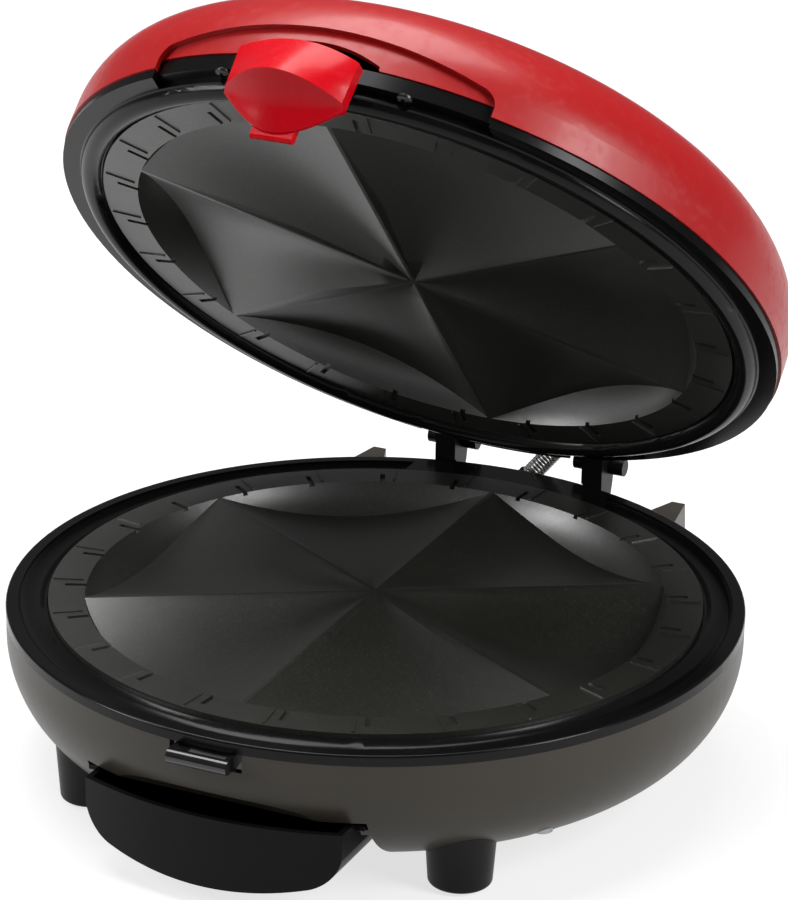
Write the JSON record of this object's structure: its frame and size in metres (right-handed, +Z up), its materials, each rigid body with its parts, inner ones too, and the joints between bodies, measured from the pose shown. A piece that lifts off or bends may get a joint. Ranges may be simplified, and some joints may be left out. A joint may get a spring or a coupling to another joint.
{
  "type": "quesadilla maker",
  "caption": "Countertop quesadilla maker: round dark base on feet with a wedge-pocket non-stick plate, red domed lid with matching plate on a rear hinge, front latch, pull-out drip tray.",
  "frame": {"origin": "on the counter, under the middle of the base's outline with the lid open as pictured", "axes": "+Z is up, the latch and drip tray face -Y, the hinge is at +Y, +X is to the right seen from the front"},
  "size_m": [0.235, 0.247, 0.2507],
  "materials": {
    "base_housing": "satin dark grey plastic",
    "bezel_screws": "zinc plated steel",
    "cord_bush": "black rubber",
    "deck_ring": "satin black plastic",
    "drip_tray": "satin black plastic",
    "foot_front_left": "satin black plastic",
    "foot_front_right": "satin black plastic",
    "foot_pads": "black rubber",
    "foot_rear_left": "satin black plastic",
    "foot_rear_right": "satin black plastic",
    "hinge_pins": "turned steel",
    "hinge_saddle": "satin black plastic",
    "lamp_holder": "moulded holder",
    "latch": "glossy red plastic",
    "latch_catch": "polished black plastic",
    "latch_pin": "turned steel",
    "lid_bezel": "satin black plastic",
    "lid_shell": "glossy red plastic",
    "lower_element": "sheathed heating element",
    "lower_heat_shield": "pressed sheet",
    "lower_plate": "cast aluminium with a dark non-stick coat",
    "lower_plate_screws": "zinc plated steel",
    "lower_thermostat": "ceramic body",
    "power_lens": "tinted lens",
    "ready_lens": "tinted lens",
    "ring_screws": "zinc plated steel",
    "saddle_screws": "zinc plated steel",
    "terminal_block": "moulded block",
    "thermal_fuse": "fuse in a woven sleeve",
    "upper_element": "sheathed heating element",
    "upper_heat_shield": "pressed sheet",
    "upper_plate": "cast aluminium with a dark non-stick coat",
    "upper_plate_screws": "zinc plated steel",
    "upper_thermostat": "ceramic body",
    "wire_guard": "spring wire"
  },
  "bodies": {
    "base": {"base_housing": "base_housing", "cord_bush": "cord_bush", "deck_ring": "deck_ring", "foot_front_left": "foot_front_left", "foot_front_right": "foot_front_right", "foot_pads": "foot_pads", "foot_rear_left": "foot_rear_left", "foot_rear_right": "foot_rear_right", "hinge_pins": "hinge_pins", "hinge_saddle": "hinge_saddle", "latch_catch": "latch_catch", "lower_element": "lower_element", "lower_heat_shield": "lower_heat_shield", "lower_plate": "lower_plate", "lower_plate_screws": "lower_plate_screws", "lower_thermostat": "lower_thermostat", "ring_screws": "ring_screws", "saddle_screws": "saddle_screws", "terminal_block": "terminal_block", "thermal_fuse": "thermal_fuse", "wire_guard": "wire_guard"},
    "drip_tray": {"drip_tray": "drip_tray"},
    "lid": {"lid_shell": "lid_shell", "lid_bezel": "lid_bezel", "upper_plate": "upper_plate", "upper_plate_screws": "upper_plate_screws", "upper_element": "upper_element", "upper_heat_shield": "upper_heat_shield", "upper_thermostat": "upper_thermostat", "bezel_screws": "bezel_screws", "latch_pin": "latch_pin", "power_lens": "power_lens", "ready_lens": "ready_lens", "lamp_holder": "lamp_holder"},
    "latch": {"latch": "latch"}
  },
  "joints": [
    {"name": "lid_hinge", "type": "hinge", "parent": "base", "child": "lid", "pos_m": [0, 0.1185, 0.074], "axis": [-1, 0, 0], "range_deg": [-47, 53]},
    {"name": "latch_pivot", "type": "hinge", "parent": "lid", "child": "latch", "pos_m": [0, -0.05399, 0.23625], "axis": [-1, 0, 0], "range_deg": [0, 18], "stiffness_Nm_per_rad": 0.12, "springref_deg": -6.88},
    {"name": "tray_slide", "type": "slide", "parent": "base", "child": "drip_tray", "axis": [0, -1, 0], "range_m": [0, 0.075]}
  ]
}
